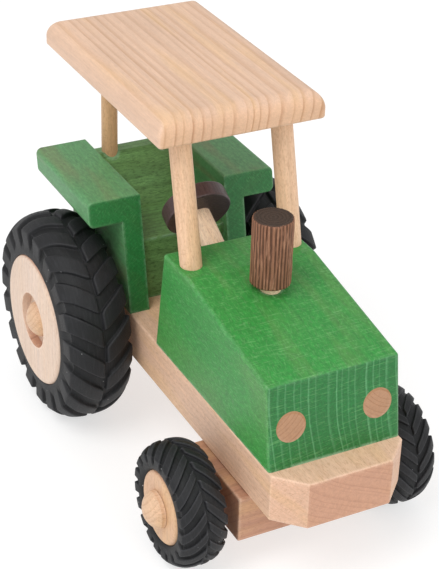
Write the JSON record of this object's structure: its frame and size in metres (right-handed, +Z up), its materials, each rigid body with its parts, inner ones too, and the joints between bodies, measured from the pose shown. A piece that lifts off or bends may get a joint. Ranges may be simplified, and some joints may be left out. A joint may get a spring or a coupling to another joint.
{
  "type": "toy tractor",
  "caption": "Wooden toy farm tractor: green hood, seat and fenders on a beech board, roof on four posts, steerable front axle and lugged rubber tyres.",
  "frame": {"origin": "on the ground under the middle of the bounding box", "axes": "+Z up; -Y is the front of the tractor; +X is the driver's left"},
  "size_m": [0.1434, 0.237, 0.1864],
  "materials": {
    "beech": "satin",
    "green_beech": "satin",
    "bark_wood": "matte",
    "dark_wood": "satin",
    "rubber": "satin",
    "steel": "satin"
  },
  "bodies": {
    "tractor_body": {"chassis_board": "beech", "hood_block": "green_beech", "headlight_plug_left": "beech", "headlight_plug_right": "beech", "fender_left": "green_beech", "fender_right": "green_beech", "seat_block": "green_beech", "roof_board": "beech", "front_post_left": "beech", "front_post_right": "beech", "rear_post_left": "beech", "rear_post_right": "beech", "exhaust_stack": "bark_wood", "exhaust_dowel": "beech", "steering_screw": "steel", "steering_washer_lower": "steel", "steering_washer_upper": "steel", "rear_axle_peg_left": "beech", "rear_axle_peg_right": "beech", "rear_spacer_left": "beech", "rear_spacer_right": "beech", "hood_dowels": "beech", "seat_dowels": "beech", "fender_dowels": "beech"},
    "front_axle": {"front_axle_block": "beech", "front_axle_peg_left": "beech", "front_axle_peg_right": "beech", "front_spacer_left": "beech", "front_spacer_right": "beech"},
    "front_wheel_left": {"front_hub_left": "beech", "front_tyre_left": "rubber"},
    "front_wheel_right": {"front_hub_right": "beech", "front_tyre_right": "rubber"},
    "rear_wheel_left": {"rear_hub_left": "beech", "rear_tyre_left": "rubber"},
    "rear_wheel_right": {"rear_hub_right": "beech", "rear_tyre_right": "rubber"},
    "steering": {"steering_column": "beech", "steering_wheel": "dark_wood"}
  },
  "joints": [
    {"name": "front_axle_steer", "type": "hinge", "parent": "tractor_body", "child": "front_axle", "pos_m": [0, -0.065, 0.0405], "axis": [0, 0, 1], "range_deg": [-18, 18]},
    {"name": "front_wheel_left_spin", "type": "hinge", "parent": "front_axle", "child": "front_wheel_left", "pos_m": [0.053, -0.065, 0.0285], "axis": [1, 0, 0], "continuous": true},
    {"name": "front_wheel_right_spin", "type": "hinge", "parent": "front_axle", "child": "front_wheel_right", "pos_m": [-0.053, -0.065, 0.0285], "axis": [1, 0, 0], "continuous": true},
    {"name": "rear_wheel_left_spin", "type": "hinge", "parent": "tractor_body", "child": "rear_wheel_left", "pos_m": [0.054, 0.067, 0.0515], "axis": [1, 0, 0], "continuous": true},
    {"name": "rear_wheel_right_spin", "type": "hinge", "parent": "tractor_body", "child": "rear_wheel_right", "pos_m": [-0.054, 0.067, 0.0515], "axis": [1, 0, 0], "continuous": true},
    {"name": "steering_wheel_turn", "type": "hinge", "parent": "tractor_body", "child": "steering", "pos_m": [0, 0.0266, 0.1144], "axis": [0, 0.8746, 0.4848], "continuous": true}
  ]
}
